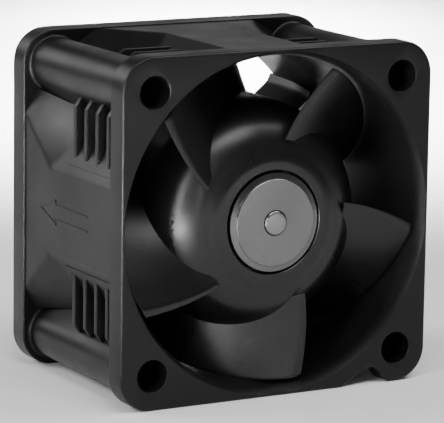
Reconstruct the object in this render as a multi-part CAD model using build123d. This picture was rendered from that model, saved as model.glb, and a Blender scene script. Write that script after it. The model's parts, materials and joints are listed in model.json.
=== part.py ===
from build123d import *
import math
import os

# Axial cooling fan for a server, 40 mm square and 28 mm deep.
# Frame: origin on the rotor axis at mid depth, inlet face towards -Y, outlet towards +Y, +Z up.
# All lengths are in millimetres and all angles in degrees.

# Frame
FRAME_SIZE = 40.0
FRAME_DEPTH = 28.0
FLANGE_THICKNESS = 3.0
FLANGE_CORNER_RADIUS = 3.9
FLANGE_EDGE_ROUND = 0.35
HOLE_TO_SIDE = 4.0
HOLE_RADIUS = 1.85
POST_RADIUS = 3.1

# Duct
DUCT_MARGIN = 0.9
DUCT_WALL = 0.5
INLET_WIDENING = 0.65
INLET_DEPTH = 1.9
OUTLET_WIDENING = 0.6
OUTLET_DEPTH = 2.5
PAD_INSET = 0.2
FACET_ANGLE = 30.0
FLARE_LENGTH = 10.0
FLARE_RISE = 2.8
FLARE_MID_SHARE = 0.41
FLARE_GAP = 6.5

# Ribs in the side pockets
RIB_COUNT = 4
RIB_PITCH = 2.75
RIB_THICKNESS = 0.75
RIB_INSET = 1.15
RIB_CHAMFER_WIDTH = 0.75
RIB_CHAMFER_LENGTH = 1.1
RIB_FOOT_TO_SIDE = 13.6
RIB_ROOT_SINK = 3.82
FIRST_RIB_GAP = 2.45

# Cable notch in the bottom edge of both flanges
NOTCH_TO_SIDE = 4.9
NOTCH_STEEP_WIDTH = 1.8
NOTCH_CREST_WIDTH = 1.1
NOTCH_SLOPE_WIDTH = 3.5
NOTCH_HEIGHT = 2.05

# Rotor
BLADE_COUNT = 5
BLADE_TIP_GAP = 0.3
BLADE_FRONT = 1.4
BLADE_REAR_INSET = 0.8
BLADE_EDGE_THICKNESS = 0.42
BLADE_MID_THICKNESS = 0.85
BLADE_ROOT_SINK = 4.0
BLADE_CAMBER_RADIUS = 42.2
BLADE_LEADING_ANGLE = 65.5
BLADE_FIRST_ANGLE = 83.4
BLADE_SWEEP = 2.25
BLADE_SWEEP_EASE = 0.048
BLADE_ROOT_TAPER = 0.4
BLADE_TAPER_DEPTH = 4.0
BLADE_SECTIONS = 7
BLADE_SECTION_SPACING = 1.3
BLADE_SPAN_POINTS = 5
HUB_RADIUS = 13.5
HUB_FRONT = 1.2
HUB_RIM_RADIUS = 7.45
HUB_RIM_STEP = 0.3
HUB_DOME_DEPTH = 7.2
HUB_REAR_ROOM = 9.6
HUB_WALL = 1.2
NOSE_CLEARANCE = 0.25
NOSE_SOCKET_DEPTH = 0.8

# Rotor cup, magnet, bush and shaft
CUP_WALL = 0.7
CUP_NOSE_RADIUS = 5.5
CUP_NOSE_ROUND = 0.6
CUP_NOSE_RECESS = 0.8
CUP_SHOULDER_DEPTH = 2.8
CUP_SHOULDER_DROP = 1.0
CUP_CORNER_RADIUS = 1.5
CUP_REAR_SETBACK = 0.6
MAGNET_THICKNESS = 1.1
MAGNET_FRONT_GAP = 2.7
MAGNET_SETBACK = 0.4
BUSH_RADIUS = 3.2
BUSH_LENGTH = 3.6
SHAFT_RADIUS = 1.5
SHAFT_RECESS = 0.55
SHAFT_DOME = 0.25
SHAFT_CLEARANCE = 0.04

# Ball bearings
BEARING_RADIUS = 4.0
BEARING_WIDTH = 4.0
RACE_THICKNESS = 0.75
BALL_COUNT = 7
BALL_RADIUS = 0.79
BALL_CLEARANCE = 0.03
CAGE_THICKNESS = 0.5
CAGE_WIDTH = 2.2
SHIELD_THICKNESS = 0.15
SHIELD_INSET = 0.1
SHIELD_CLEARANCE = 0.08
SPRING_ROOM = 0.6
REAR_BEARING_SETBACK = 6.9
SPRING_THICKNESS = 0.25
SPRING_RIM_INSET = 0.05
WASHER_THICKNESS = 0.2
CLIP_THICKNESS = 0.4
CLIP_RADIUS = 2.4
CLIP_GROOVE_DEPTH = 0.2
CLIP_OPENING = 1.6
SHAFT_TAIL = 0.5

# Motor base, bearing tube and outlet vanes
BASE_GAP = 0.6
BASE_WALL = 1.2
BASE_FLOOR = 1.2
TUBE_WALL = 0.9
TUBE_LAND = 0.5
TUBE_FRONT_LIP = 0.3
TUBE_END_INSET = 1.1
BOSS_WALL = 1.3
VANE_COUNT = 7
VANE_THICKNESS = 1.1
VANE_TOP_ANGLE = 90.0
VANE_CAMBER = 1.0
VANE_MID_SHARE = 0.25
VANE_TAIL_SHARE = 0.7
VANE_FRONT_SETBACK = 0.2
VANE_REAR_INSET = 0.4
CAP_THICKNESS = 0.9
CAP_SPIGOT = 0.35
CAP_CLEARANCE = 0.05

# Stator, insulators, coils and circuit board
AIR_GAP = 0.4
TOOTH_COUNT = 6
TOOTH_WIDTH = 2.0
TOOTH_SHOE_THICKNESS = 1.1
TOOTH_SHOE_SPAN = 48.0
YOKE_THICKNESS = 1.7
CORE_FRONT_INSET = 1.5
CORE_REAR_INSET = 0.9
INSULATOR_THICKNESS = 0.5
COIL_THICKNESS = 1.2
COIL_CLEARANCE = 0.05
COIL_CORNER = 0.6
COIL_END_GAP = 0.3
PIN_COUNT = 3
PIN_RADIUS = 0.3
PIN_YOKE_GAP = 0.7
PIN_TAB_WIDTH = 1.4
PIN_TAIL = 0.6
BOARD_THICKNESS = 1.0
BOARD_RIM_CLEARANCE = 0.3
BOARD_SETBACK = 0.8
HALL_SIZE = (3.0, 1.2, 1.6)
HALL_RIM_GAP = 2.3
HALL_ANGLE = 90.0
DRIVER_SIZE = (4.0, 1.0, 4.0)
DRIVER_ANGLE = 0.0
CAPACITOR_SIZE = (3.2, 1.6, 1.8)
CAPACITOR_ANGLE = 200.0

# Places that follow from the sizes above
FRONT_FACE = -FRAME_DEPTH / 2
REAR_FACE = FRAME_DEPTH / 2
FRONT_FLANGE_BACK = FRONT_FACE + FLANGE_THICKNESS
REAR_FLANGE_FRONT = REAR_FACE - FLANGE_THICKNESS
HOLE_PITCH = FRAME_SIZE - 2 * HOLE_TO_SIDE
BORE_RADIUS = FRAME_SIZE / 2 - DUCT_MARGIN
INLET_RADIUS = BORE_RADIUS + INLET_WIDENING
OUTLET_RADIUS = BORE_RADIUS + OUTLET_WIDENING
PAD_DISTANCE = FRAME_SIZE / 2 - PAD_INSET
FACET_DISTANCE = BORE_RADIUS + DUCT_WALL
FLARE_START = REAR_FLANGE_FRONT - FLARE_LENGTH
FLARE_RADIUS = FACET_DISTANCE + FLARE_RISE
NOTCH_END = FRAME_SIZE / 2 - NOTCH_TO_SIDE
NOTCH_CREST_END = NOTCH_END - NOTCH_STEEP_WIDTH
NOTCH_SLOPE_END = NOTCH_CREST_END - NOTCH_CREST_WIDTH
NOTCH_START = NOTCH_SLOPE_END - NOTCH_SLOPE_WIDTH
HUB_FRONT_FACE = FRONT_FACE + HUB_FRONT
HUB_REAR_FACE = REAR_FACE - HUB_REAR_ROOM
BLADE_TIP_RADIUS = BORE_RADIUS - BLADE_TIP_GAP
BLADE_ROOT_RADIUS = HUB_RADIUS - BLADE_ROOT_SINK
BLADE_LEADING_FACE = FRONT_FACE + BLADE_FRONT
BLADE_TRAILING_FACE = HUB_REAR_FACE - BLADE_REAR_INSET
BLADE_CHORD_DEPTH = BLADE_TRAILING_FACE - BLADE_LEADING_FACE
DOME_FRONT = HUB_FRONT_FACE + HUB_RIM_STEP
DOME_BACK = DOME_FRONT + HUB_DOME_DEPTH
NOSE_FACE = FRONT_FACE + CUP_NOSE_RECESS
CUP_SHOULDER = NOSE_FACE + CUP_SHOULDER_DEPTH
CUP_REAR = HUB_REAR_FACE - CUP_REAR_SETBACK
CUP_RADIUS = HUB_RADIUS - HUB_WALL
CUP_INNER_RADIUS = CUP_RADIUS - CUP_WALL
MAGNET_INNER_RADIUS = CUP_INNER_RADIUS - MAGNET_THICKNESS
MAGNET_REAR = CUP_REAR - MAGNET_SETBACK
MAGNET_FRONT = CUP_SHOULDER + CUP_SHOULDER_DROP + CUP_WALL + MAGNET_FRONT_GAP
BUSH_FRONT = NOSE_FACE + CUP_WALL
BUSH_REAR = BUSH_FRONT + BUSH_LENGTH
SHAFT_FRONT = FRONT_FACE + SHAFT_RECESS
FRONT_BEARING_FACE = BUSH_REAR + SPRING_ROOM
REAR_BEARING_FACE = REAR_FACE - REAR_BEARING_SETBACK
INNER_RACE_RADIUS = SHAFT_RADIUS + RACE_THICKNESS
OUTER_RACE_RADIUS = BEARING_RADIUS - RACE_THICKNESS
BALL_CIRCLE = (INNER_RACE_RADIUS + OUTER_RACE_RADIUS) / 2
TUBE_RADIUS = BEARING_RADIUS + TUBE_WALL
TUBE_FRONT = FRONT_BEARING_FACE - TUBE_FRONT_LIP
TUBE_REAR = REAR_FACE - TUBE_END_INSET
WASHER_FRONT = REAR_BEARING_FACE + BEARING_WIDTH
CLIP_FRONT = WASHER_FRONT + WASHER_THICKNESS
SHAFT_REAR = CLIP_FRONT + CLIP_THICKNESS + SHAFT_TAIL
BASE_FRONT = HUB_REAR_FACE + BASE_GAP
BASE_INNER_RADIUS = HUB_RADIUS - BASE_WALL
BOARD_FRONT = BASE_FRONT + BOARD_SETBACK
BOARD_REAR = BOARD_FRONT + BOARD_THICKNESS
BOSS_RADIUS = TUBE_RADIUS + BOSS_WALL
HALL_RADIUS = BASE_INNER_RADIUS - HALL_RIM_GAP
CHIP_CIRCLE = (BOSS_RADIUS + BASE_INNER_RADIUS) / 2
CORE_RADIUS = MAGNET_INNER_RADIUS - AIR_GAP
CORE_FRONT = MAGNET_FRONT + CORE_FRONT_INSET
CORE_REAR = MAGNET_REAR - CORE_REAR_INSET
YOKE_RADIUS = TUBE_RADIUS + YOKE_THICKNESS
PIN_CIRCLE = YOKE_RADIUS + PIN_YOKE_GAP


def slab(outline, front, rear):
    """Extrude an outline in x and z from one depth to the other."""
    plane = Plane(origin=(0, rear, 0), x_dir=(1, 0, 0), z_dir=(0, -1, 0))
    return extrude(plane * outline, amount=rear - front)


def ring(outer, inner, front, rear):
    return slab(Circle(outer) - Circle(inner), front, rear)


def turned(points):
    """Turn a closed outline of (radius, depth) points round the rotor axis."""
    return revolve(make_face(Polyline(*points, close=True)), Axis.Y)


def at_angle(part, angle):
    """Turn a part round the rotor axis, counter-clockwise as seen from the inlet."""
    return part.rotate(Axis.Y, -angle)


# Frame

def flange_outline():
    """Square flange with round corners and the cable notch in its bottom edge."""
    half = FRAME_SIZE / 2
    crest = NOTCH_HEIGHT - half
    notch = make_face(
        Polyline(
            (NOTCH_START, -half),
            (NOTCH_SLOPE_END, crest),
            (NOTCH_CREST_END, crest),
            (NOTCH_END, -half),
            (NOTCH_END, -half - 1),
            (NOTCH_START, -half - 1),
            close=True,
        )
    )
    return RectangleRounded(FRAME_SIZE, FRAME_SIZE, FLANGE_CORNER_RADIUS) - notch


def flange(front, rear, outer_face):
    body = slab(flange_outline(), front, rear)
    edges = body.edges().filter_by_position(Axis.Y, outer_face - 0.01, outer_face + 0.01)
    return fillet(edges, FLANGE_EDGE_ROUND)


def duct_outline():
    """Twelve-sided outside of the duct: four flat pads and two facets between each pair."""
    outline = Rectangle(2 * PAD_DISTANCE, 2 * PAD_DISTANCE)
    for quarter in range(4):
        for angle in (FACET_ANGLE, 90 - FACET_ANGLE):
            outside = Pos(FACET_DISTANCE + FRAME_SIZE / 2, 0) * Rectangle(FRAME_SIZE, 2 * FRAME_SIZE)
            outline -= Rot(0, 0, 90 * quarter + angle) * outside
    return outline


def flare():
    """Bell-shaped outside of the outlet, cut flat by the pads and open along the diagonals."""
    middle = (FACET_DISTANCE + FLARE_RISE * FLARE_MID_SHARE, FLARE_START + FLARE_LENGTH / 2)
    bell = Spline((FACET_DISTANCE, FLARE_START), middle, (FLARE_RADIUS, REAR_FLANGE_FRONT))
    sides = Polyline(
        (FLARE_RADIUS, REAR_FLANGE_FRONT),
        (BORE_RADIUS - 1, REAR_FLANGE_FRONT),
        (BORE_RADIUS - 1, FLARE_START),
        (FACET_DISTANCE, FLARE_START),
    )
    body = revolve(make_face(bell + sides), Axis.Y)
    gap = Rectangle(3 * FRAME_SIZE, FLARE_GAP)
    window = Rectangle(2 * PAD_DISTANCE, 2 * PAD_DISTANCE)
    window -= Rot(0, 0, 45) * gap + Rot(0, 0, 135) * gap
    return body & slab(window, FLARE_START, REAR_FLANGE_FRONT)


def rib_outline():
    """Outlines of the eight ribs at one depth, a pair beside each corner web."""
    edge = FRAME_SIZE / 2 - RIB_INSET
    tip = edge - RIB_CHAMFER_WIDTH
    root = BORE_RADIUS - RIB_ROOT_SINK
    foot = FRAME_SIZE / 2 - RIB_FOOT_TO_SIDE
    web_side = POST_RADIUS * math.sqrt(2)
    corners = [
        (edge, foot),
        (edge, tip - web_side - RIB_CHAMFER_LENGTH),
        (tip, tip - web_side),
        (root, root - web_side),
        (root, foot),
    ]
    lower = make_face(Polyline(*corners, close=True))
    upper = make_face(Polyline(*[(z, x) for x, z in corners], close=True))
    outline = Sketch()
    for quarter in range(4):
        outline += Rot(0, 0, 90 * quarter) * lower
        outline += Rot(0, 0, 90 * quarter) * upper
    return outline


def ribs():
    outline = rib_outline()
    body = Part()
    for number in range(RIB_COUNT):
        front = FRONT_FLANGE_BACK + FIRST_RIB_GAP + number * RIB_PITCH
        body += slab(outline, front, front + RIB_THICKNESS)
    return body


def web_outline():
    """Diagonal webs, each as wide as the round posts at its two ends."""
    bar = SlotCenterToCenter(HOLE_PITCH * math.sqrt(2), 2 * POST_RADIUS)
    return Rot(0, 0, 45) * bar + Rot(0, 0, 135) * bar


def bore():
    """Air path through the duct, with a rounded inlet and a rounded outlet."""
    inlet_end = FRONT_FACE + INLET_DEPTH
    outlet_start = REAR_FACE - OUTLET_DEPTH
    inlet_radius = (INLET_WIDENING ** 2 + INLET_DEPTH ** 2) / (2 * INLET_WIDENING)
    outlet_radius = (OUTLET_WIDENING ** 2 + OUTLET_DEPTH ** 2) / (2 * OUTLET_WIDENING)
    inlet = RadiusArc((INLET_RADIUS, FRONT_FACE), (BORE_RADIUS, inlet_end), inlet_radius)
    wall = Line((BORE_RADIUS, inlet_end), (BORE_RADIUS, outlet_start))
    outlet = RadiusArc((BORE_RADIUS, outlet_start), (OUTLET_RADIUS, REAR_FACE), outlet_radius)
    rest = Polyline(
        (OUTLET_RADIUS, REAR_FACE),
        (0, REAR_FACE),
        (0, FRONT_FACE),
        (INLET_RADIUS, FRONT_FACE),
    )
    return revolve(make_face(inlet + wall + outlet + rest), Axis.Y)


def motor_base():
    """Cup behind the rotor that holds the bearing tube and the circuit board."""
    floor = REAR_FACE - BASE_FLOOR
    return turned(
        [
            (HUB_RADIUS, BASE_FRONT),
            (HUB_RADIUS, REAR_FACE),
            (TUBE_RADIUS, REAR_FACE),
            (TUBE_RADIUS, BOARD_REAR),
            (BOSS_RADIUS, BOARD_REAR),
            (BOSS_RADIUS, floor),
            (BASE_INNER_RADIUS, floor),
            (BASE_INNER_RADIUS, BASE_FRONT),
        ]
    )


def vanes():
    """Cambered outlet vanes from the motor base to the duct, which turn the air straight."""
    front = BASE_FRONT + VANE_FRONT_SETBACK
    rear = REAR_FACE - VANE_REAR_INSET
    middle = (front + rear) / 2
    mid_camber = -VANE_CAMBER * VANE_MID_SHARE
    half = VANE_THICKNESS / 2
    tail = half * VANE_TAIL_SHARE
    nose = (front, -VANE_CAMBER)
    upper = Spline(nose, (middle, mid_camber + half), (rear, tail))
    lower = Spline(nose, (middle, mid_camber - half), (rear, -tail))
    section = make_face(upper + Line((rear, tail), (rear, -tail)) + lower)
    start = HUB_RADIUS - BASE_WALL / 2
    plane = Plane(origin=(start, 0, 0), x_dir=(0, 1, 0), z_dir=(1, 0, 0))
    vane = extrude(plane * section, amount=OUTLET_RADIUS + 1 - start)
    vane = vane & slab(Circle(OUTLET_RADIUS), front, rear)
    body = Part()
    for number in range(VANE_COUNT):
        body += at_angle(vane, VANE_TOP_ANGLE + number * 360 / VANE_COUNT)
    return body


def at_corners(outline):
    half = HOLE_PITCH / 2
    result = Sketch()
    for x in (-half, half):
        for z in (-half, half):
            result += Pos(x, z) * outline
    return result


def housing():
    """Moulded frame: flanges, duct, corner posts, webs, ribs, flare, motor base and vanes."""
    body = flange(FRONT_FACE, FRONT_FLANGE_BACK, FRONT_FACE)
    body += flange(REAR_FLANGE_FRONT, REAR_FACE, REAR_FACE)
    body += slab(duct_outline() + web_outline(), FRONT_FLANGE_BACK, REAR_FLANGE_FRONT)
    body += flare()
    body += ribs()
    body -= bore()
    body += slab(at_corners(Circle(POST_RADIUS)), FRONT_FACE, REAR_FACE)
    body += motor_base()
    body += vanes()
    body -= slab(at_corners(Circle(HOLE_RADIUS)), FRONT_FACE - 1, REAR_FACE + 1)
    return body


# Rotor

def cup_envelope(inset, rear):
    """Filled half outline of the stepped rotor cup, set in by a wall."""
    shoulder_end = CUP_SHOULDER + CUP_SHOULDER_DROP
    outline = make_face(
        Polyline(
            (0, NOSE_FACE + inset),
            (CUP_NOSE_RADIUS - inset, NOSE_FACE + inset),
            (CUP_NOSE_RADIUS - inset, CUP_SHOULDER + inset),
            (CUP_RADIUS - inset, shoulder_end + inset),
            (CUP_RADIUS - inset, rear),
            (0, rear),
            close=True,
        )
    )
    corner = outline.vertices().sort_by_distance((CUP_RADIUS - inset, shoulder_end + inset, 0))[0]
    outline = fillet(corner, CUP_CORNER_RADIUS - inset)
    if inset < CUP_NOSE_ROUND:
        nose = outline.vertices().sort_by_distance((CUP_NOSE_RADIUS - inset, NOSE_FACE + inset, 0))[0]
        outline = fillet(nose, CUP_NOSE_ROUND - inset)
    return revolve(outline, Axis.Y)


def rotor_cup():
    cup = cup_envelope(0, CUP_REAR) - cup_envelope(CUP_WALL, CUP_REAR)
    return cup - slab(Circle(SHAFT_RADIUS + SHAFT_CLEARANCE), NOSE_FACE - 1, BUSH_FRONT + 1)


def hub():
    """Solid dome of the impeller, hollowed to fit over the rotor cup."""
    dome = EllipticalCenterArc(
        (HUB_RIM_RADIUS, DOME_BACK),
        HUB_RADIUS - HUB_RIM_RADIUS,
        HUB_DOME_DEPTH,
        start_angle=-90,
        arc_size=90,
    )
    sides = Polyline(
        (HUB_RADIUS, DOME_BACK),
        (HUB_RADIUS, HUB_REAR_FACE),
        (0, HUB_REAR_FACE),
        (0, HUB_FRONT_FACE),
        (HUB_RIM_RADIUS, HUB_FRONT_FACE),
        (HUB_RIM_RADIUS, DOME_FRONT),
    )
    return revolve(make_face(dome + sides), Axis.Y)


def blade_point(radius, depth_in, side):
    """Point on one side of the blade section, at a radius and a depth behind the leading face."""
    lead = math.radians(BLADE_LEADING_ANGLE)
    slope = math.asin(math.sin(lead) - depth_in / BLADE_CAMBER_RADIUS)
    camber = BLADE_CAMBER_RADIUS * (math.cos(slope) - math.cos(lead))
    reach = radius - BLADE_ROOT_RADIUS
    first = math.radians(BLADE_FIRST_ANGLE - BLADE_SWEEP * reach + BLADE_SWEEP_EASE * reach ** 2)
    swell = math.sin(math.pi * depth_in / BLADE_CHORD_DEPTH)
    thickness = BLADE_EDGE_THICKNESS + (BLADE_MID_THICKNESS - BLADE_EDGE_THICKNESS) * swell
    taper = BLADE_ROOT_TAPER + (1 - BLADE_ROOT_TAPER) * reach / (BLADE_TIP_RADIUS - BLADE_ROOT_RADIUS)
    taper += (1 - taper) * min(1.0, depth_in / BLADE_TAPER_DEPTH)
    half_width = taper * thickness / (2 * math.cos(slope))
    lead_width = BLADE_EDGE_THICKNESS / (2 * math.cos(lead))
    angle = first + (side * half_width - lead_width - camber) / radius
    return (radius * math.cos(angle), radius * math.sin(angle))


def blade():
    """Thin cambered blade, lofted through sections across the rotor axis."""
    sections = []
    outer = BLADE_TIP_RADIUS + BLADE_TIP_GAP
    span = (outer - BLADE_ROOT_RADIUS) / (BLADE_SPAN_POINTS - 1)
    radii = [BLADE_ROOT_RADIUS + span * point for point in range(BLADE_SPAN_POINTS)]
    for share in range(BLADE_SECTIONS + 1):
        depth_in = BLADE_CHORD_DEPTH * (share / BLADE_SECTIONS) ** BLADE_SECTION_SPACING
        back = [blade_point(radius, depth_in, 1) for radius in radii]
        front = [blade_point(radius, depth_in, -1) for radius in radii]
        outline = Spline(*back) + Line(back[-1], front[-1]) + Spline(*front) + Line(front[0], back[0])
        depth = BLADE_LEADING_FACE + depth_in
        plane = Plane(origin=(0, depth, 0), x_dir=(1, 0, 0), z_dir=(0, -1, 0))
        sections.append(plane * make_face(outline))
    whole = loft(sections)
    return whole & slab(Circle(BLADE_TIP_RADIUS), BLADE_LEADING_FACE, BLADE_TRAILING_FACE)


def impeller():
    body = hub()
    one = blade()
    for number in range(BLADE_COUNT):
        body += at_angle(one, -number * 360 / BLADE_COUNT)
    body -= cup_envelope(0, HUB_REAR_FACE)
    socket_end = HUB_FRONT_FACE + NOSE_SOCKET_DEPTH
    return body - slab(Circle(CUP_NOSE_RADIUS + NOSE_CLEARANCE), HUB_FRONT_FACE - 1, socket_end)


def magnet_ring():
    return ring(CUP_INNER_RADIUS, MAGNET_INNER_RADIUS, MAGNET_FRONT, MAGNET_REAR)


def shaft_bush():
    return ring(BUSH_RADIUS, SHAFT_RADIUS, BUSH_FRONT, BUSH_REAR)


def shaft():
    """Shaft with a domed front end and a groove for the retaining clip."""
    groove_radius = SHAFT_RADIUS - CLIP_GROOVE_DEPTH
    end = SHAFT_FRONT + SHAFT_DOME
    middle = (SHAFT_RADIUS * math.sqrt(0.5), SHAFT_FRONT + SHAFT_DOME / 2)
    dome = ThreePointArc((0, SHAFT_FRONT), middle, (SHAFT_RADIUS, end))
    sides = Polyline(
        (SHAFT_RADIUS, end),
        (SHAFT_RADIUS, CLIP_FRONT),
        (groove_radius, CLIP_FRONT),
        (groove_radius, CLIP_FRONT + CLIP_THICKNESS),
        (SHAFT_RADIUS, CLIP_FRONT + CLIP_THICKNESS),
        (SHAFT_RADIUS, SHAFT_REAR),
        (0, SHAFT_REAR),
        (0, SHAFT_FRONT),
    )
    return revolve(make_face(dome + sides), Axis.Y)


def preload_spring():
    """Dished spring washer between the bush and the front bearing."""
    rim = INNER_RACE_RADIUS - SPRING_RIM_INSET
    hole = SHAFT_RADIUS + SPRING_RIM_INSET
    return turned(
        [
            (hole, BUSH_REAR),
            (hole, BUSH_REAR + SPRING_THICKNESS),
            (rim, FRONT_BEARING_FACE),
            (rim, FRONT_BEARING_FACE - SPRING_THICKNESS),
        ]
    )


def thrust_washer():
    return ring(INNER_RACE_RADIUS, SHAFT_RADIUS, WASHER_FRONT, CLIP_FRONT)


def retaining_clip():
    """Open clip in the groove at the end of the shaft."""
    inner = SHAFT_RADIUS - CLIP_GROOVE_DEPTH
    body = ring(CLIP_RADIUS, inner, CLIP_FRONT, CLIP_FRONT + CLIP_THICKNESS)
    mouth = Pos(CLIP_RADIUS, 0) * Rectangle(2 * CLIP_RADIUS, CLIP_OPENING)
    return body - slab(mouth, CLIP_FRONT, CLIP_FRONT + CLIP_THICKNESS)


# Ball bearings, each built from its front face backwards

def ball_track(face):
    """Round groove in both races."""
    track = Pos(BALL_CIRCLE, face + BEARING_WIDTH / 2) * Circle(BALL_RADIUS + BALL_CLEARANCE)
    return revolve(track, Axis.Y)


def outer_race(face):
    return ring(BEARING_RADIUS, OUTER_RACE_RADIUS, face, face + BEARING_WIDTH) - ball_track(face)


def inner_race(face):
    return ring(INNER_RACE_RADIUS, SHAFT_RADIUS, face, face + BEARING_WIDTH) - ball_track(face)


def ball_places(face):
    """Middle points of the balls."""
    places = []
    middle = face + BEARING_WIDTH / 2
    for number in range(BALL_COUNT):
        angle = 2 * math.pi * number / BALL_COUNT
        places.append((BALL_CIRCLE * math.cos(angle), middle, BALL_CIRCLE * math.sin(angle)))
    return places


def balls(face):
    return Compound(children=[Pos(*place) * Sphere(BALL_RADIUS) for place in ball_places(face)])


def cage(face):
    """Thin ring with a round window for each ball."""
    half = CAGE_THICKNESS / 2
    middle = face + BEARING_WIDTH / 2
    front = middle - CAGE_WIDTH / 2
    body = ring(BALL_CIRCLE + half, BALL_CIRCLE - half, front, front + CAGE_WIDTH)
    window = Rot(0, 90, 0) * Cylinder(BALL_RADIUS + BALL_CLEARANCE, BALL_CIRCLE)
    window = Pos(BALL_CIRCLE, middle, 0) * window
    for number in range(BALL_COUNT):
        body -= at_angle(window, number * 360 / BALL_COUNT)
    return body


def shields(face):
    """Pair of thin rings that close a bearing on both sides."""
    inner = INNER_RACE_RADIUS + SHIELD_CLEARANCE
    front = face + SHIELD_INSET
    rear = face + BEARING_WIDTH - SHIELD_INSET - SHIELD_THICKNESS
    pair = [ring(OUTER_RACE_RADIUS, inner, start, start + SHIELD_THICKNESS) for start in (front, rear)]
    return Compound(children=pair)


# Stator

def bearing_tube():
    """Brass tube with a bearing seat at each end and a narrower land between them."""
    land = BEARING_RADIUS - TUBE_LAND
    return turned(
        [
            (TUBE_RADIUS, TUBE_FRONT),
            (TUBE_RADIUS, TUBE_REAR),
            (BEARING_RADIUS, TUBE_REAR),
            (BEARING_RADIUS, REAR_BEARING_FACE),
            (land, REAR_BEARING_FACE),
            (land, FRONT_BEARING_FACE + BEARING_WIDTH),
            (BEARING_RADIUS, FRONT_BEARING_FACE + BEARING_WIDTH),
            (BEARING_RADIUS, TUBE_FRONT),
        ]
    )


def tooth_bars():
    """Radial bars of the stator teeth."""
    outline = Sketch()
    length = CORE_RADIUS - TOOTH_SHOE_THICKNESS / 2 - TUBE_RADIUS
    bar = Pos(TUBE_RADIUS + length / 2, 0) * Rectangle(length, TOOTH_WIDTH)
    for number in range(TOOTH_COUNT):
        outline += Rot(0, 0, number * 360 / TOOTH_COUNT) * bar
    return outline


def shoe_slots():
    """Gaps between the tooth shoes."""
    outline = Sketch()
    step = 360 / TOOTH_COUNT
    half_gap = math.radians((step - TOOTH_SHOE_SPAN) / 2)
    reach = 2 * CORE_RADIUS
    wedge = make_face(
        Polyline(
            (0, 0),
            (reach, -reach * math.tan(half_gap)),
            (reach, reach * math.tan(half_gap)),
            close=True,
        )
    )
    for number in range(TOOTH_COUNT):
        outline += Rot(0, 0, (number + 0.5) * step) * wedge
    return outline


def stator_outline():
    shoes = Circle(CORE_RADIUS) - Circle(CORE_RADIUS - TOOTH_SHOE_THICKNESS) - shoe_slots()
    return (Circle(YOKE_RADIUS) + tooth_bars() + shoes) - Circle(TUBE_RADIUS)


def stator_core():
    return slab(stator_outline(), CORE_FRONT, CORE_REAR)


def pin_angles():
    """Angles of the winding pins, each midway between two teeth."""
    half_step = 180 / TOOTH_COUNT
    return [half_step + number * 360 / PIN_COUNT for number in range(PIN_COUNT)]


def pin_places():
    """Points of the winding pins in x and z."""
    return [
        (PIN_CIRCLE * math.cos(math.radians(angle)), PIN_CIRCLE * math.sin(math.radians(angle)))
        for angle in pin_angles()
    ]


def insulator(front):
    """Plastic end plate of the stator."""
    return slab(stator_outline(), front, front + INSULATOR_THICKNESS)


def rear_insulator():
    """End plate with three tabs that hold the winding pins."""
    tab_end = PIN_CIRCLE + PIN_TAB_WIDTH / 2
    tab_start = YOKE_RADIUS - INSULATOR_THICKNESS
    tab = Pos((tab_end + tab_start) / 2, 0) * Rectangle(tab_end - tab_start, PIN_TAB_WIDTH)
    tabs = Sketch()
    for angle in pin_angles():
        tabs += Rot(0, 0, angle) * tab
    body = insulator(CORE_REAR) + slab(tabs, CORE_REAR, CORE_REAR + INSULATOR_THICKNESS)
    return body - winding_pins()


def winding_pins():
    """Pins that carry the ends of the coils through the circuit board."""
    pins = [
        slab(Pos(x, z) * Circle(PIN_RADIUS), CORE_REAR, BOARD_REAR + PIN_TAIL)
        for x, z in pin_places()
    ]
    return Compound(children=pins)


def coil(number):
    """Winding round one tooth and the insulators on its two ends."""
    front = CORE_FRONT - INSULATOR_THICKNESS - COIL_CLEARANCE
    rear = CORE_REAR + INSULATOR_THICKNESS + COIL_CLEARANCE
    width = TOOTH_WIDTH + 2 * COIL_CLEARANCE
    start = YOKE_RADIUS + COIL_END_GAP
    end = CORE_RADIUS - TOOTH_SHOE_THICKNESS - COIL_END_GAP
    outer = RectangleRounded(rear - front + 2 * COIL_THICKNESS, width + 2 * COIL_THICKNESS, COIL_CORNER)
    section = outer - Rectangle(rear - front, width)
    plane = Plane(origin=(start, (front + rear) / 2, 0), x_dir=(0, 1, 0), z_dir=(1, 0, 0))
    body = extrude(plane * section, amount=end - start)
    return at_angle(body, number * 360 / TOOTH_COUNT)


def circuit_board():
    hole = TUBE_RADIUS + COIL_CLEARANCE
    body = ring(BASE_INNER_RADIUS - BOARD_RIM_CLEARANCE, hole, BOARD_FRONT, BOARD_REAR)
    return body - winding_pins()


def on_board(size, radius, angle, face, outward):
    """Rectangular component that stands on a face of the board at a radius and an angle."""
    middle = face + outward * size[1] / 2
    return at_angle(Pos(radius, middle, 0) * Box(*size), angle)


def hall_sensor():
    return on_board(HALL_SIZE, HALL_RADIUS, HALL_ANGLE, BOARD_FRONT, -1)


def driver_chip():
    return on_board(DRIVER_SIZE, CHIP_CIRCLE, DRIVER_ANGLE, BOARD_REAR, 1)


def smoothing_capacitor():
    return on_board(CAPACITOR_SIZE, CHIP_CIRCLE, CAPACITOR_ANGLE, BOARD_REAR, 1)


def bearing_cap():
    """Round cap that closes the rear end of the bearing tube."""
    disc = slab(Circle(TUBE_RADIUS - CAP_CLEARANCE), TUBE_REAR, TUBE_REAR + CAP_THICKNESS)
    spigot = slab(Circle(BEARING_RADIUS - CAP_CLEARANCE), TUBE_REAR - CAP_SPIGOT, TUBE_REAR)
    return disc + spigot


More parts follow.
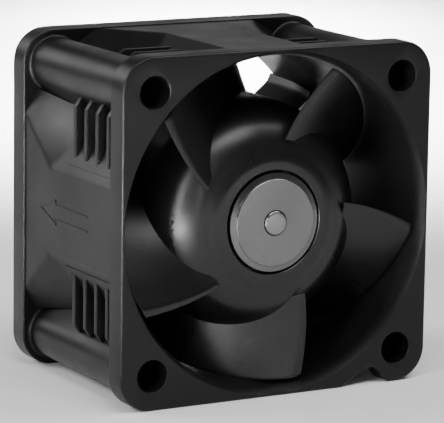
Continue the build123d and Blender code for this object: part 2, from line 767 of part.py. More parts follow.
def all_parts():
    """Every piece of the fan, by name."""
    parts = {
        "housing": housing(),
        "impeller": impeller(),
        "rotor_cup": rotor_cup(),
        "magnet_ring": magnet_ring(),
        "shaft_bush": shaft_bush(),
        "shaft": shaft(),
        "preload_spring": preload_spring(),
        "thrust_washer": thrust_washer(),
        "retaining_clip": retaining_clip(),
        "bearing_tube": bearing_tube(),
        "bearing_cap": bearing_cap(),
        "stator_core": stator_core(),
        "front_insulator": insulator(CORE_FRONT - INSULATOR_THICKNESS),
        "rear_insulator": rear_insulator(),
        "winding_pins": winding_pins(),
        "circuit_board": circuit_board(),
        "hall_sensor": hall_sensor(),
        "driver_chip": driver_chip(),
        "smoothing_capacitor": smoothing_capacitor(),
    }
    for side, face in (("front", FRONT_BEARING_FACE), ("rear", REAR_BEARING_FACE)):
        parts[side + "_outer_race"] = outer_race(face)
        parts[side + "_inner_race"] = inner_race(face)
        parts[side + "_balls"] = balls(face)
        parts[side + "_cage"] = cage(face)
        parts[side + "_shields"] = shields(face)
    for number in range(TOOTH_COUNT):
        parts["coil_%d" % (number + 1)] = coil(number)
    return parts


os.makedirs("parts", exist_ok=True)
for name, part in all_parts().items():
    export_step(part, "parts/" + name + ".step")
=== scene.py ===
# %% [markdown]
# A small axial cooling fan, 40 mm square and 28 mm deep, as servers use it.
# The solid model comes from the frame file and fixes every size. This notebook dresses it: the moulded
# frame, the impeller and the steel rotor face are made again with smooth, rounded surfaces, and every
# piece gets a finish with some life in it.
# The frame has its origin on the rotor axis at half depth. The inlet looks towards -Y and +Z is up.

# %% Load the fixed frame
import bpy
import bmesh
import json
import math
from mathutils import Matrix, Vector


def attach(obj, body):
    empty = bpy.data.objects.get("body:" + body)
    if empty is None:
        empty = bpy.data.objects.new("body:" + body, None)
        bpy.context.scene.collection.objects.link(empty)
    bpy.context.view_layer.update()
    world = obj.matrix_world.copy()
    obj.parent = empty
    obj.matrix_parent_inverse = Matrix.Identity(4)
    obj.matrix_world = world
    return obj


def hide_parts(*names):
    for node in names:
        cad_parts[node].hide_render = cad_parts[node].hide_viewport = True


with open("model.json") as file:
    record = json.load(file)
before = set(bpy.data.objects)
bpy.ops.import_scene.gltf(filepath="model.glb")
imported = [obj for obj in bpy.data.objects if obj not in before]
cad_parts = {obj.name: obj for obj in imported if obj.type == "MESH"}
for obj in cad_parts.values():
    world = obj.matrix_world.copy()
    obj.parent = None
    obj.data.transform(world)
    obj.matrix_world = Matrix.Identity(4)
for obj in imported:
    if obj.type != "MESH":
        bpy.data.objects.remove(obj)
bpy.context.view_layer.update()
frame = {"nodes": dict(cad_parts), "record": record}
MM = 0.001

# %% [markdown]
# The camera stands a good third of a metre away with a long lens, to the left of the fan and a
# little above it. Its place was worked out from the hole pattern and the two flange faces, so it is
# given as a point and three directions instead of being aimed by eye.

# %% Camera
spot = Vector((-0.172728, -0.308445, 0.067301))
right = Vector((0.87329, -0.48698, 0.01487))
up = Vector((0.07963, 0.17278, 0.98174))
back = Vector((-0.48065, -0.85615, 0.18967))
lens = bpy.data.cameras.new("camera")
lens.lens = 249.46
lens.sensor_width = 36.0
lens.clip_start = 0.01
lens.clip_end = 20.0
camera = bpy.data.objects.new("camera", lens)
turn = Matrix((right, up, back)).transposed().to_4x4()
camera.matrix_world = Matrix.Translation(spot) @ turn
bpy.context.scene.collection.objects.link(camera)
bpy.context.scene.camera = camera
print("camera at", [round(v, 3) for v in camera.location], "lens", round(lens.lens, 1))

# %% [markdown]
# A finish is more than a colour. Moulded plastic has a fine grain, its gloss drifts a little from place
# to place, and handling leaves faint marks. A node tree gives all three from the object's own
# coordinates, so that the pattern is fixed to the piece. One helper builds the tree for every finish,
# and the numbers that are the same all over a piece go straight into the shader's own sockets.

# %% Helper for finishes
BROAD_SCALE = 140.0
RELIEF_DEPTH = 0.00003


def finish(
    name, color, rough, metal=0.0, grain=4000.0, bump=0.08,
    drift=0.08, tint=0.12, stretch=(1, 1, 1), shine=0.5,
):
    """Material with a fine grain, a gloss that drifts by a little and a shade that varies by a tint."""
    made = bpy.data.materials.new(name)
    made.use_nodes = True
    tree = made.node_tree
    shader = tree.nodes["Principled BSDF"]
    shader.inputs["Metallic"].default_value = metal
    shader.inputs["Specular IOR Level"].default_value = shine
    place = tree.nodes.new("ShaderNodeTexCoord")
    mapping = tree.nodes.new("ShaderNodeMapping")
    mapping.inputs["Scale"].default_value = stretch
    tree.links.new(place.outputs["Object"], mapping.inputs["Vector"])
    fine = tree.nodes.new("ShaderNodeTexNoise")
    fine.inputs["Scale"].default_value = grain
    fine.inputs["Detail"].default_value = 3.0
    broad = tree.nodes.new("ShaderNodeTexNoise")
    broad.inputs["Scale"].default_value = BROAD_SCALE
    broad.inputs["Detail"].default_value = 5.0
    tree.links.new(mapping.outputs["Vector"], fine.inputs["Vector"])
    tree.links.new(place.outputs["Object"], broad.inputs["Vector"])
    shade = tree.nodes.new("ShaderNodeMix")
    shade.data_type = "RGBA"
    shade.inputs[6].default_value = [c * (1 - tint) for c in color] + [1]
    shade.inputs[7].default_value = [min(1.0, c * (1 + tint)) for c in color] + [1]
    tree.links.new(broad.outputs["Fac"], shade.inputs[0])
    tree.links.new(shade.outputs[2], shader.inputs["Base Color"])
    gloss = tree.nodes.new("ShaderNodeMapRange")
    gloss.inputs["From Min"].default_value = 0.3
    gloss.inputs["From Max"].default_value = 0.7
    gloss.inputs["To Min"].default_value = rough - drift
    gloss.inputs["To Max"].default_value = rough + drift
    tree.links.new(broad.outputs["Fac"], gloss.inputs["Value"])
    tree.links.new(gloss.outputs["Result"], shader.inputs["Roughness"])
    relief = tree.nodes.new("ShaderNodeBump")
    relief.inputs["Strength"].default_value = bump
    relief.inputs["Distance"].default_value = RELIEF_DEPTH
    tree.links.new(fine.outputs["Fac"], relief.inputs["Height"])
    tree.links.new(relief.outputs["Normal"], shader.inputs["Normal"])
    return made


# %% [markdown]
# The frame and the impeller are both black, glass-filled plastic with a satin skin. One finish
# could serve both, but the impeller's skin is a touch smoother, and two finishes keep its blades
# apart from the duct behind them. The rotor cup is plated steel with a soft sheen, and the shaft
# end is ground steel. The two steels share their grain and differ in shade and gloss.

# %% Finishes that show
frame_plastic = finish("frame_plastic", (0.004, 0.004, 0.0042), 0.40, bump=0.14, shine=0.25)
rotor_plastic = finish("rotor_plastic", (0.004, 0.004, 0.0043), 0.30, drift=0.05, bump=0.08, shine=0.4)
steel = {"metal": 1.0, "grain": 5200.0, "tint": 0.05}
cup_steel = finish("cup_steel", (0.16, 0.16, 0.163), 0.33, bump=0.08, **steel)
shaft_steel = finish("shaft_steel", (0.22, 0.22, 0.225), 0.26, bump=0.05, **steel)
cap_plastic = finish("cap_plastic", (0.006, 0.006, 0.0065), 0.5, bump=0.12, shine=0.3)
print("finishes:", len(bpy.data.materials))

# %% [markdown]
# The pieces inside the motor never show in a picture of the closed fan, but somebody may open it.
# They keep the shapes of the solid model, which are fine enough for their size, and each takes a
# finish that suits what it is made of: enamelled copper, stacked steel sheet, brass, ferrite,
# bearing steel and lacquered board.

# %% Finishes inside the motor
inside = {
    "magnet": finish("magnet", (0.055, 0.05, 0.048), 0.62, bump=0.3),
    "brass": finish("brass", (0.62, 0.43, 0.17), 0.3, metal=1.0, bump=0.08),
    "spring_steel": finish("spring_steel", (0.45, 0.45, 0.46), 0.34, metal=1.0),
    "washer_plastic": finish("washer_plastic", (0.62, 0.6, 0.54), 0.5),
    "core_steel": finish(
        "core_steel", (0.3, 0.3, 0.31), 0.45, metal=1.0, grain=900.0, bump=0.5, stretch=(0.1, 6, 0.1)
    ),
    "insulator": finish("insulator", (0.6, 0.55, 0.44), 0.5),
    "copper": finish(
        "copper", (0.5, 0.19, 0.08), 0.32, metal=0.85, grain=1500.0, bump=0.5, stretch=(1, 0.15, 1)
    ),
    "pin_metal": finish("pin_metal", (0.62, 0.6, 0.55), 0.3, metal=1.0),
    "board": finish("board", (0.02, 0.12, 0.05), 0.35, grain=2500.0, bump=0.15),
    "chip": finish("chip", (0.014, 0.014, 0.015), 0.3, bump=0.1),
    "capacitor": finish("capacitor", (0.42, 0.33, 0.2), 0.45),
    "race_steel": finish("race_steel", (0.6, 0.6, 0.61), 0.18, metal=1.0),
    "ball_steel": finish("ball_steel", (0.7, 0.7, 0.71), 0.1, metal=1.0, drift=0.04),
    "cage_metal": finish("cage_metal", (0.5, 0.36, 0.16), 0.35, metal=1.0),
    "shield_steel": finish("shield_steel", (0.5, 0.5, 0.51), 0.32, metal=1.0),
    "black_plastic": frame_plastic,
    "rotor_plastic": rotor_plastic,
    "cup_steel": cup_steel,
    "shaft_steel": shaft_steel,
    "cap_plastic": cap_plastic,
}
for entry in frame["record"]["subparts"]:
    node = frame["nodes"][entry["node"]]
    node.data.materials.clear()
    node.data.materials.append(inside[entry["material_slot"]])

# %% [markdown]
# Most of the fan is round about one axis, so a helper turns a profile about that axis. The profile
# is a closed line of radius and depth in millimetres. A Screw modifier could do it as well, but a
# second helper that joins any stack of equal rings into a skin serves both for turned shapes and
# for those that change as they go round. The others shade a piece, give it its finish and tie it to
# its body.

# %% Helpers for round shapes
def placed(name, mesh):
    """New object with a mesh, linked into the scene."""
    piece = bpy.data.objects.new(name, mesh)
    bpy.context.scene.collection.objects.link(piece)
    return piece


def skin(name, rings, closed=True):
    """Skin over a stack of rings that all have the same number of points."""
    mesh = bpy.data.meshes.new(name)
    count = len(rings[0])
    points = [Vector(p) * MM for ring in rings for p in ring]
    faces = []
    last = len(rings) if closed else len(rings) - 1
    for row in range(last):
        other = (row + 1) % len(rings)
        for step in range(count):
            after = (step + 1) % count
            near, far = row * count, other * count
            faces.append((near + step, near + after, far + after, far + step))
    mesh.from_pydata(points, [], faces)
    work = bmesh.new()
    work.from_mesh(mesh)
    bmesh.ops.remove_doubles(work, verts=work.verts, dist=1e-7)
    bmesh.ops.recalc_face_normals(work, faces=work.faces)
    work.to_mesh(mesh)
    work.free()
    return placed(name, mesh)


def turned(name, profile, steps=192):
    """Turn a profile of radius and depth about the axis."""
    rings = []
    for radius, depth in profile:
        ring = []
        for step in range(steps):
            angle = 2 * math.pi * step / steps
            ring.append((radius * math.cos(angle), depth, radius * math.sin(angle)))
        rings.append(ring)
    return skin(name, rings)


def close_ends(piece):
    """Close the open ends of a skin with one face each."""
    work = bmesh.new()
    work.from_mesh(piece.data)
    bmesh.ops.holes_fill(work, edges=[e for e in work.edges if e.is_boundary], sides=0)
    bmesh.ops.recalc_face_normals(work, faces=work.faces)
    work.to_mesh(piece.data)
    work.free()


def arc(center, radius, start, end, steps):
    """Points of an arc in the plane of radius and depth."""
    points = []
    for step in range(steps + 1):
        angle = math.radians(start + (end - start) * step / steps)
        points.append((center[0] + radius * math.cos(angle), center[1] + radius * math.sin(angle)))
    return points


def smooth(piece, angle=30.0):
    """Shade smooth, but keep the edges that are sharper than an angle in degrees."""
    for face in piece.data.polygons:
        face.use_smooth = True
    piece.data.set_sharp_from_angle(angle=math.radians(angle))


def settle(piece):
    """Make the modifiers' result the piece's own plain mesh."""
    bpy.context.view_layer.update()
    graph = bpy.context.evaluated_depsgraph_get()
    result = bpy.data.meshes.new_from_object(piece.evaluated_get(graph))
    piece.modifiers.clear()
    piece.data = result
    return piece


def dress(piece, finish_used, body, node=None, angle=30.0):
    """Give a piece its finish, its body and the node that it stands in for."""
    piece.data.materials.clear()
    piece.data.materials.append(finish_used)
    smooth(piece, angle)
    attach(piece, body)
    if node:
        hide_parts(node)
    print(piece.name, "faces", len(piece.data.polygons))


# %% [markdown]
# The square flange has round corners and, near its bottom right corner, a notch where the leads leave.
# Its outline is a list of corner points with a radius at each. A ray from the axis finds the outline at
# any angle, so that the square edge and the round bore can share the same spokes.

# %% Flange outline
HALF = 20.0
CORNER = 3.9
CORNERS = [
    (HALF, HALF, CORNER),
    (-HALF, HALF, CORNER),
    (-HALF, -HALF, CORNER),
    (8.7, -HALF, 0.6),
    (12.03, -18.19, 0.9),
    (12.94, -17.98, 0.5),
    (13.78, -18.49, 0.5),
    (14.99, -19.88, 0.35),
    (15.3, -HALF, 0.2),
    (HALF, -HALF, CORNER),
]


def rounded(corners):
    """Closed line through corner points, with an arc of its own radius at each."""
    line = []
    for index, (x, z, radius) in enumerate(corners):
        here = Vector((x, z))
        before = (Vector(corners[index - 1][:2]) - here).normalized()
        after = (Vector(corners[(index + 1) % len(corners)][:2]) - here).normalized()
        half_turn = before.angle(after) / 2
        reach = radius / math.tan(half_turn)
        center = here + (before + after).normalized() * radius / math.sin(half_turn)
        first = here + before * reach - center
        sweep = first.angle_signed(here + after * reach - center)
        steps = max(4, int(abs(math.degrees(sweep)) / 4))
        for step in range(steps + 1):
            turn = Matrix.Rotation(-sweep * step / steps, 2)
            line.append(center + turn @ first)
    return line


OUTLINE = rounded(CORNERS)


def on_outline(angle):
    """Point of the flange outline and its outward normal, at an angle about the axis."""
    ray = Vector((math.cos(angle), math.sin(angle)))
    for index, start in enumerate(OUTLINE):
        end = OUTLINE[(index + 1) % len(OUTLINE)]
        edge = end - start
        if start.dot(ray) <= 0 or edge.length < 1e-6:
            continue
        cross = ray.x * edge.y - ray.y * edge.x
        if abs(cross) < 1e-9:
            continue
        along = (ray.y * start.x - ray.x * start.y) / cross
        if -1e-6 <= along <= 1 + 1e-6:
            point = start + edge * along
            normal = Vector((edge.y, -edge.x)).normalized()
            return point, normal if normal.dot(ray) > 0 else -normal
    raise ValueError("the ray misses the outline")


print("outline points:", len(OUTLINE))

# %% [markdown]
# One closed skin makes both flanges and the duct between them. Every spoke runs out of the outlet,
# round the rear flange, forward along the outside of the duct, round the front flange and home
# through the bore. Plates and tubes joined by Booleans would do it too, but one skin keeps the
# rounded edges clean where the bore comes close to the side. The duct is flat on its four sides,
# has two facets beside each corner, and swells towards the outlet.

# %% Flanges and duct
FACE = 14.0
FLANGE_BACK = 11.0
BACK_EDGE = 0.12
EDGE = 0.3
EDGE_STEPS = 5
BORE = 19.1
INLET_START = -12.1
INLET_GROWTH = 0.65
OUTLET_START = 11.5
OUTLET_GROWTH = 0.6
PAD = 19.8
FACET = 19.6
FACET_TURN = math.radians(30)
FLARE = [(1.0, FACET), (2.9, 20.0), (4.8, 20.46), (6.9, 20.99), (9.05, 21.6), (FLANGE_BACK, 22.4)]
FLARE_REACH = 21.0
FLARE_GAP = 3.25
DUCT_STEP = 0.5
DUCT_ROWS = 21
OUTLET_STEPS = 8
INLET_STEPS = 9
MOUTH_GAP = 0.03
SPOKE_STEPS = 600
CLOSEST = 0.0006


def flare_radius(depth):
    """Radius of the outlet flare at a depth, read off its list."""
    for (low, small), (high, large) in zip(FLARE, FLARE[1:]):
        if low <= depth <= high:
            return small + (large - small) * (depth - low) / (high - low)
    return FACET


def duct_radius(angle, depth):
    """Outside of the duct: flat pad, two facets beside each corner, and the flare clear of the webs."""
    pad = PAD / max(abs(math.cos(angle)), abs(math.sin(angle)))
    turn = angle % (math.pi / 2)
    radius = min(pad, FACET / math.cos(turn - FACET_TURN), FACET / math.cos(turn - 2 * FACET_TURN))
    off_diagonal = abs(math.sin(turn - math.pi / 4)) * FLARE_REACH
    if depth > FLARE[0][0] and off_diagonal > FLARE_GAP:
        radius = max(radius, min(pad, flare_radius(depth)))
    return radius


angles = {round(2 * math.pi * step / SPOKE_STEPS, 6) for step in range(SPOKE_STEPS)}
for point in OUTLINE:
    angles.add(round(math.atan2(point.y, point.x) % (2 * math.pi), 6))
angles = sorted(angles)
spokes = [angles[0]]
for angle in angles[1:]:
    if angle - spokes[-1] > CLOSEST:
        spokes.append(angle)
edge_points = [on_outline(angle) for angle in spokes]


def circle_ring(radius, depth):
    """Round ring with a point on every spoke."""
    return [(radius * math.cos(a), depth, radius * math.sin(a)) for a in spokes]


def duct_ring(depth, shape_depth):
    """Ring on the outside of the duct at one depth, with the shape that the duct has at another."""
    radii = [duct_radius(a, shape_depth) for a in spokes]
    return [(r * math.cos(a), depth, r * math.sin(a)) for r, a in zip(radii, spokes)]


def inset_ring(inset, depth):
    """Ring along the flange outline, moved inwards by an inset."""
    return [(p.x - n.x * inset, depth, p.y - n.y * inset) for p, n in edge_points]


def mouth_ring(radius, depth, inset):
    """Round ring at a face, held inside the inset outline where the bore comes close to it."""
    ring = []
    for angle, (p, n) in zip(spokes, edge_points):
        reach = min(radius, (p - n * inset).length - MOUTH_GAP)
        ring.append((reach * math.cos(angle), depth, reach * math.sin(angle)))
    return ring


def rounded_edge(side, steps):
    """Rings round the outer edge of a flange; side is -1 at the inlet and 1 at the outlet."""
    found = []
    for step in steps:
        bend = math.radians(90 * step / EDGE_STEPS)
        depth = side * (FACE - EDGE * (1 - math.cos(bend)))
        found.append(inset_ring(EDGE * (1 - math.sin(bend)), depth))
    return found


rings = []
for step in range(OUTLET_STEPS + 1):
    share = step / OUTLET_STEPS
    depth = OUTLET_START + (FACE - OUTLET_START) * share
    rings.append(circle_ring(BORE + OUTLET_GROWTH * share ** 2, depth))
rings[-1] = mouth_ring(BORE + OUTLET_GROWTH, FACE, EDGE)
rings.append(inset_ring(EDGE, FACE))
rings += rounded_edge(1, range(1, EDGE_STEPS + 1))
rings.append(inset_ring(0.0, FLANGE_BACK + BACK_EDGE))
rings.append(inset_ring(BACK_EDGE, FLANGE_BACK))
for step in range(DUCT_ROWS):
    depth = FLANGE_BACK - DUCT_STEP * step
    rings.append(duct_ring(depth, depth))
rings.append(duct_ring(-FLANGE_BACK, 0.0))
rings.append(inset_ring(BACK_EDGE, -FLANGE_BACK))
rings.append(inset_ring(0.0, -FLANGE_BACK - BACK_EDGE))
rings += rounded_edge(-1, range(EDGE_STEPS, -1, -1))
rings.append(mouth_ring(BORE + INLET_GROWTH, -FACE, EDGE))
for step in range(1, INLET_STEPS + 1):
    share = 1 - step / INLET_STEPS
    depth = INLET_START - (FACE + INLET_START) * share
    rings.append(circle_ring(BORE + INLET_GROWTH * share ** 2, depth))
shell = skin("frame_shell", rings)
print("spokes:", len(spokes), "rings:", len(rings))

# %% [markdown]
# Posts, ribs, raised facets, vanes and blades all repeat: in rows along the axis, round the axis,
# or both. Array modifiers would need a helper object for every turn, so one Geometry Nodes tree
# does this for all of them. It takes a single piece, copies it along the axis at a pitch, turns the
# row round the axis in equal steps, makes the copies real and gives them their finish.

# %% Repeating tree
def repeat_tree():
    """Tree that takes a piece with its rows and turns and gives back the whole set."""
    tree = bpy.data.node_groups.new("repeat_about_axis", "GeometryNodeTree")
    face = tree.interface
    face.new_socket("Piece", in_out="INPUT", socket_type="NodeSocketGeometry")
    face.new_socket("Rows", in_out="INPUT", socket_type="NodeSocketInt")
    face.new_socket("Pitch", in_out="INPUT", socket_type="NodeSocketFloat")
    face.new_socket("Turns", in_out="INPUT", socket_type="NodeSocketInt")
    face.new_socket("Step angle", in_out="INPUT", socket_type="NodeSocketFloat")
    face.new_socket("Finish", in_out="INPUT", socket_type="NodeSocketMaterial")
    face.new_socket("Result", in_out="OUTPUT", socket_type="NodeSocketGeometry")
    nodes, links = tree.nodes, tree.links
    given = nodes.new("NodeGroupInput")
    out = nodes.new("NodeGroupOutput")
    offset = nodes.new("ShaderNodeCombineXYZ")
    links.new(given.outputs["Pitch"], offset.inputs["Y"])
    row = nodes.new("GeometryNodeMeshLine")
    links.new(given.outputs["Rows"], row.inputs["Count"])
    links.new(offset.outputs["Vector"], row.inputs["Offset"])
    along = nodes.new("GeometryNodeInstanceOnPoints")
    links.new(row.outputs["Mesh"], along.inputs["Points"])
    links.new(given.outputs["Piece"], along.inputs["Instance"])
    wheel = nodes.new("GeometryNodeMeshLine")
    links.new(given.outputs["Turns"], wheel.inputs["Count"])
    wheel.inputs["Offset"].default_value = (0, 0, 0)
    index = nodes.new("GeometryNodeInputIndex")
    angle = nodes.new("ShaderNodeMath")
    angle.operation = "MULTIPLY"
    links.new(index.outputs["Index"], angle.inputs[0])
    links.new(given.outputs["Step angle"], angle.inputs[1])
    turn = nodes.new("ShaderNodeCombineXYZ")
    links.new(angle.outputs["Value"], turn.inputs["Y"])
    about = nodes.new("GeometryNodeInstanceOnPoints")
    links.new(wheel.outputs["Mesh"], about.inputs["Points"])
    links.new(along.outputs["Instances"], about.inputs["Instance"])
    links.new(turn.outputs["Vector"], about.inputs["Rotation"])
    real = nodes.new("GeometryNodeRealizeInstances")
    paint = nodes.new("GeometryNodeSetMaterial")
    links.new(about.outputs["Instances"], real.inputs["Geometry"])
    links.new(real.outputs["Geometry"], paint.inputs["Geometry"])
    links.new(given.outputs["Finish"], paint.inputs["Material"])
    links.new(paint.outputs["Geometry"], out.inputs["Result"])
    return tree


REPEAT = repeat_tree()
print("nodes in the repeating tree:", len(REPEAT.nodes))


def repeat(piece, finish_used, turns, rows=1, pitch=0.0):
    """Set a piece in rows at a pitch in millimetres and in equal turns, and keep that as its mesh."""
    values = {
        "Rows": rows,
        "Pitch": pitch * MM,
        "Turns": turns,
        "Step angle": 2 * math.pi / turns,
        "Finish": finish_used,
    }
    repeater = piece.modifiers.new("repeat", "NODES")
    repeater.node_group = REPEAT
    for item in REPEAT.interface.items_tree:
        if item.item_type == "SOCKET" and item.in_out == "INPUT" and item.name in values:
            repeater[item.identifier] = values[item.name]
    return settle(piece)


def plate(name, outline, front, rear):
    """Flat plate across the axis, with its corners given in x and z."""
    mesh = bpy.data.meshes.new(name)
    count = len(outline)
    points = [Vector((x, y, z)) * MM for y in (front, rear) for x, z in outline]
    faces = [list(range(count)), list(range(count, 2 * count))]
    faces += [(i, (i + 1) % count, count + (i + 1) % count, count + i) for i in range(count)]
    mesh.from_pydata(points, [], faces)
    return placed(name, mesh)


def join(first, others):
    """Take the meshes of other pieces into the first one."""
    work = bmesh.new()
    for piece in [first] + others:
        work.from_mesh(piece.data)
    bmesh.ops.recalc_face_normals(work, faces=work.faces)
    work.to_mesh(first.data)
    work.free()
    for piece in others:
        bpy.data.objects.remove(piece)
    return first


def soften(piece, width, segments=2):
    """Bevel the sharp edges of a piece by a width in millimetres."""
    bevel = piece.modifiers.new("soften", "BEVEL")
    bevel.width = width * MM
    bevel.segments = segments
    bevel.limit_method = "ANGLE"
    bevel.angle_limit = math.radians(30)
    return settle(piece)


# %% [markdown]
# Behind each screw hole a round post runs from flange to flange, and a web as wide as the post ties
# it to the duct. Post and web share one outline, a bar with a round end. The outline grows a little
# where it meets a flange, which leaves the small fillet of a moulding. One corner is drawn and the
# tree sets four.

# %% Corner posts and webs
QUARTERS = 4
POST = 3.1
POST_STEPS = 36
HOLE_AT = 16.0
POST_CIRCLE = HOLE_AT * math.sqrt(2)
SUNK = 19.35
FILLET = 0.35
FILLET_STEPS = 6


def post_ring(depth, growth):
    """Outline of post and web along +X at one depth, grown by a fillet."""
    radius = POST + growth
    ring = [(SUNK, depth, -radius), (SUNK, depth, radius)]
    for step in range(POST_STEPS + 1):
        bend = math.pi / 2 - math.pi * step / POST_STEPS
        ring.append((POST_CIRCLE + radius * math.cos(bend), depth, radius * math.sin(bend)))
    return ring


bends = [math.pi / 2 * step / FILLET_STEPS for step in range(FILLET_STEPS + 1)]
ends = [(FLANGE_BACK - FILLET * (1 - math.cos(b)), FILLET * (1 - math.sin(b))) for b in bends]
post_rings = [post_ring(-depth, growth) for depth, growth in ends]
post_rings += [post_ring(depth, growth) for depth, growth in reversed(ends)]
posts = skin("corner_posts", post_rings, closed=False)
close_ends(posts)
posts.data.transform(Matrix.Rotation(math.pi / 4, 4, "Y"))
repeat(posts, frame_plastic, QUARTERS)
print("corner posts:", QUARTERS, "faces:", len(posts.data.polygons))

# %% [markdown]
# Four screw holes run through the corners. One cutter is turned like any round piece, with a
# slightly wider mouth at both faces, and copied to each corner. A Boolean takes it out of the shell
# and of the posts, since each hole runs through both. That leaves the small rounded lip that a
# moulded hole has.

# %% Screw holes
HOLE = 1.85
LIP = 0.15
BEYOND = 0.5


def hole_cutter():
    """Four cutters in one mesh, each a little longer than the fan is deep."""
    profile = [(0.001, -FACE - BEYOND), (HOLE + LIP, -FACE - BEYOND), (HOLE + LIP, -FACE)]
    for bend in (0.4, 0.8, 1.2, math.pi / 2):
        profile.append((HOLE + LIP * (1 - math.sin(bend)), -FACE + LIP * (1 - math.cos(bend))))
    profile += [(r, -y) for r, y in reversed(profile)]
    cutter = turned("cutter", profile, steps=64)
    work = bmesh.new()
    for x in (-HOLE_AT, HOLE_AT):
        for z in (-HOLE_AT, HOLE_AT):
            copy = cutter.data.copy()
            copy.transform(Matrix.Translation((x * MM, 0, z * MM)))
            work.from_mesh(copy)
            bpy.data.meshes.remove(copy)
    work.to_mesh(cutter.data)
    work.free()
    return cutter


cutter = hole_cutter()
for piece in (shell, posts):
    cut = piece.modifiers.new("holes", "BOOLEAN")
    cut.operation = "DIFFERENCE"
    cut.solver = "EXACT"
    cut.object = cutter
    settle(piece)
bpy.data.objects.remove(cutter)
dress(shell, frame_plastic, "frame", "housing", angle=24.0)
dress(posts, frame_plastic, "frame", "housing")

# %% [markdown]
# Beside every web, four thin ribs stand in the pocket in the side of the duct. A lower and an upper
# one are drawn for a single quarter, with their inner edge sunk in the duct wall. The tree makes
# four rows of the pair, four times round, so two drawings give all thirty-two ribs.

# %% Ribs
RIB_ROWS = 4
RIB_PITCH = 2.75
RIB_THICK = 0.75
RIB_EDGE = 18.85
RIB_CHAMFER = 0.75
RIB_TIP = RIB_EDGE - RIB_CHAMFER
RIB_SLOPE = 1.1
RIB_FOOT = 6.4
RIB_REAR = 0.45
RIB_ROUND = 0.09
web_side = POST * math.sqrt(2)
web_meets = (web_side + math.sqrt(2 * SUNK ** 2 - web_side ** 2)) / 2
arc_start = math.degrees(math.acos(web_meets / SUNK))
arc_end = math.degrees(math.asin(RIB_FOOT / SUNK))
web_edge = RIB_TIP - web_side
lower = [(RIB_EDGE, RIB_FOOT), (RIB_EDGE, web_edge - RIB_SLOPE), (RIB_TIP, web_edge)]
lower += arc((0, 0), SUNK, arc_start, arc_end, 8)
upper = [(z, x) for x, z in lower]
rib_depths = (RIB_REAR - RIB_THICK, RIB_REAR)
rib_pair = join(plate("ribs", lower, *rib_depths), [plate("rib_twin", upper, *rib_depths)])
soften(rib_pair, RIB_ROUND)
repeat(rib_pair, frame_plastic, QUARTERS, RIB_ROWS, -RIB_PITCH)
dress(rib_pair, frame_plastic, "frame", "housing")

# %% [markdown]
# The facets that carry the ribs stand a hair proud from the front flange to the start of the flare.
# Their lower edge shows as a fine line beside the flat pad. A step in the shell could show it, but
# its spokes would have to meet that line, so each is a thin slab laid on its facet.

# %% Raised facets
FACET_RISE = 0.1
FACET_SINK = 0.1
FACET_LINE = 1.15
FACET_REAR = 1.4
FACET_ROUND = 0.04


def facet_slab(name, turn, side):
    """Thin slab on the facet whose normal is turned from +X; the diagonal lies on the side given."""
    crease = (FACET - PAD * math.cos(FACET_TURN)) / math.sin(FACET_TURN)
    start = crease * math.cos(FACET_TURN) - PAD * math.sin(FACET_TURN) + FACET_LINE
    end = FACET * math.tan(math.pi / 4 - FACET_TURN)
    low, high = FACET - FACET_SINK, FACET + FACET_RISE
    along, across = math.cos(turn), math.sin(turn)
    corners = []
    for reach, slide in ((low, start), (high, start), (high, end), (low, end)):
        slide *= side
        corners.append((reach * along - slide * across, reach * across + slide * along))
    return plate(name, corners, -FLANGE_BACK, FACET_REAR)


slabs = facet_slab("facet_slabs", FACET_TURN, 1)
join(slabs, [facet_slab("facet_twin", 2 * FACET_TURN, -1)])
soften(slabs, FACET_ROUND, segments=1)
repeat(slabs, frame_plastic, QUARTERS)
dress(slabs, frame_plastic, "frame", "housing")

# %% [markdown]
# The motor base is a shallow cup behind the rotor, with a round seat for the bearing cap in its
# floor. Every cut through the axis shows the same section, so it is turned from a profile. The edge
# at the outlet face has a small round, as a moulding has.

# %% Motor base
BASE = 13.5
BASE_WALL = 1.2
BASE_FRONT = 5.0
BASE_FLOOR = 12.4
BASE_ROUND = 0.25
CAP_SEAT = 6.25
TUBE = 4.95
base_profile = [(BASE - BASE_WALL, BASE_FRONT), (BASE - 0.1, BASE_FRONT), (BASE, BASE_FRONT + 0.1)]
base_profile += arc((BASE - BASE_ROUND, FACE - BASE_ROUND), BASE_ROUND, 0, 90, 5)
base_profile += [(CAP_SEAT + 0.15, FACE), (CAP_SEAT, FACE - 0.15), (CAP_SEAT, FACE - 0.4)]
base_profile += [(TUBE, FACE - 0.4), (TUBE, BASE_FLOOR), (BASE - BASE_WALL, BASE_FLOOR)]
base = turned("motor_base", base_profile)
dress(base, frame_plastic, "frame", "housing")

# %% [markdown]
# Seven thin vanes reach from the motor base to the duct. They straighten the air and carry the
# motor. A Solidify modifier on a bent sheet would be quicker, but would leave both edges square, so
# a vane is built as rows of points that follow its section from the base outwards. It grows thicker
# at both ends, which leaves a soft root.

# %% Outlet vanes
VANES = 7
VANE_FRONT = 5.2
VANE_REAR = 13.6
VANE_CAMBER = -1.0
VANE_THICK = 1.1
VANE_EDGE = 0.06
VANE_BELLY = 0.45
VANE_FADE = 0.3
VANE_ROOT = 13.2
ROOT_REACH = 1.1
ROOT_GROWTH = 0.45
VANE_STEPS = 16
VANE_ROWS = 20


def vane_section():
    """Points round the section: depth, place across it, and place of the middle line there."""
    upper, lower = [], []
    for step in range(VANE_STEPS + 1):
        share = step / VANE_STEPS
        depth = VANE_FRONT + (VANE_REAR - VANE_FRONT) * share
        middle = VANE_CAMBER * (1 - share) ** 2
        swell = 1 - (1 - min(1.0, share / VANE_BELLY)) ** 2
        fade = 1 - VANE_FADE * max(0.0, share - VANE_BELLY) / (1 - VANE_BELLY)
        half = max(VANE_EDGE, VANE_THICK / 2 * swell * fade)
        upper.append((depth, middle + half, middle))
        lower.append((depth, middle - half, middle))
    return upper + lower[::-1]


